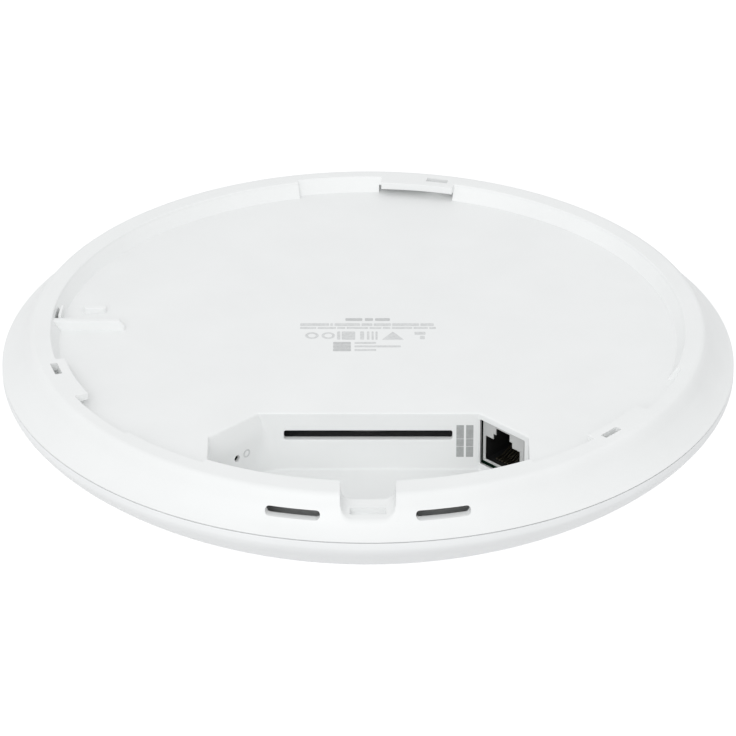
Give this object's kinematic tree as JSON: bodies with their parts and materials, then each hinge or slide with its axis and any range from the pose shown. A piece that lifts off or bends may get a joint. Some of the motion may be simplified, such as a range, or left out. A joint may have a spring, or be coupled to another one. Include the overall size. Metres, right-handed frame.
{
  "type": "ceiling access point",
  "caption": "Round ceiling-mount wireless access point: rear housing with bayonet recess and port bay, domed front cover, board, antennas and blower.",
  "frame": {"origin": "centre of the rim's top face, the plane that meets the ceiling bracket", "axes": "+Z out of the mounting side, towards the ceiling; -Y towards the cable notch; the dome faces -Z"},
  "size_m": [0.206, 0.206, 0.046],
  "materials": {
    "housing_plastic": "white moulded plastic, very fine matte texture",
    "cover_plastic": "white moulded plastic, smooth satin",
    "dark_plastic": "black moulded plastic",
    "clear_plastic": "clear light-guide plastic with a frosted end",
    "circuit_board": "green solder mask over glass-fibre board",
    "chip_resin": "black moulding compound",
    "thermal_rubber": "soft filled silicone",
    "aluminium": "milled and brushed aluminium",
    "steel": "tin-plated or stainless steel sheet",
    "brass": "turned brass",
    "antenna_metal": "stamped phosphor bronze",
    "printed_ink": "grey pad-printed marks"
  },
  "bodies": {
    "housing": {"antenna_ground_plate": "aluminium", "fan_bearing": "brass", "fan_casing": "dark_plastic", "fan_lid": "dark_plastic", "fan_screw_1": "steel", "fan_screw_2": "steel", "fan_screw_3": "steel", "fan_stator": "steel", "filter_capacitor_1": "aluminium", "filter_capacitor_2": "aluminium", "front_cover": "cover_plastic", "ground_plate_screw_1": "steel", "ground_plate_screw_2": "steel", "ground_plate_screw_3": "steel", "ground_plate_screw_4": "steel", "heat_sink": "aluminium", "heat_sink_screw_1": "steel", "heat_sink_screw_2": "steel", "heat_sink_screw_3": "steel", "high_band_antenna_1": "antenna_metal", "high_band_antenna_2": "antenna_metal", "jack_body": "dark_plastic", "jack_contact_1": "brass", "jack_contact_2": "brass", "jack_contact_3": "brass", "jack_contact_4": "brass", "jack_contact_5": "brass", "jack_contact_6": "brass", "jack_contact_7": "brass", "jack_contact_8": "brass", "jack_shield": "steel", "left_radio_chip": "chip_resin", "left_radio_shield": "steel", "left_radio_thermal_pad": "thermal_rubber", "low_band_antenna_1": "antenna_metal", "low_band_antenna_2": "antenna_metal", "main_board": "circuit_board", "mid_band_antenna_1": "antenna_metal", "mid_band_antenna_2": "antenna_metal", "network_transformer": "chip_resin", "power_transformer": "chip_resin", "processor_chip": "chip_resin", "processor_shield": "steel", "processor_thermal_pad": "thermal_rubber", "rear_housing": "housing_plastic", "reset_switch_body": "dark_plastic", "right_radio_chip": "chip_resin", "right_radio_shield": "steel", "right_radio_thermal_pad": "thermal_rubber", "standoff_1": "brass", "standoff_2": "brass", "standoff_3": "brass", "standoff_4": "brass", "status_led": "clear_plastic", "status_light_pipe": "clear_plastic"},
    "rotor": {"fan_rotor": "dark_plastic", "fan_shaft": "steel"},
    "reset_plunger": {"reset_button": "dark_plastic"}
  },
  "joints": [
    {"name": "fan_spin", "type": "hinge", "parent": "housing", "child": "rotor", "pos_m": [0, -0.016, -0.012], "axis": [0, 0, 1], "continuous": true},
    {"name": "reset_press", "type": "slide", "parent": "housing", "child": "reset_plunger", "axis": [-0.7071, 0.7071, 0], "range_m": [0, 0.0004], "stiffness_N_per_m": 1500, "springref_m": -0.0003}
  ]
}
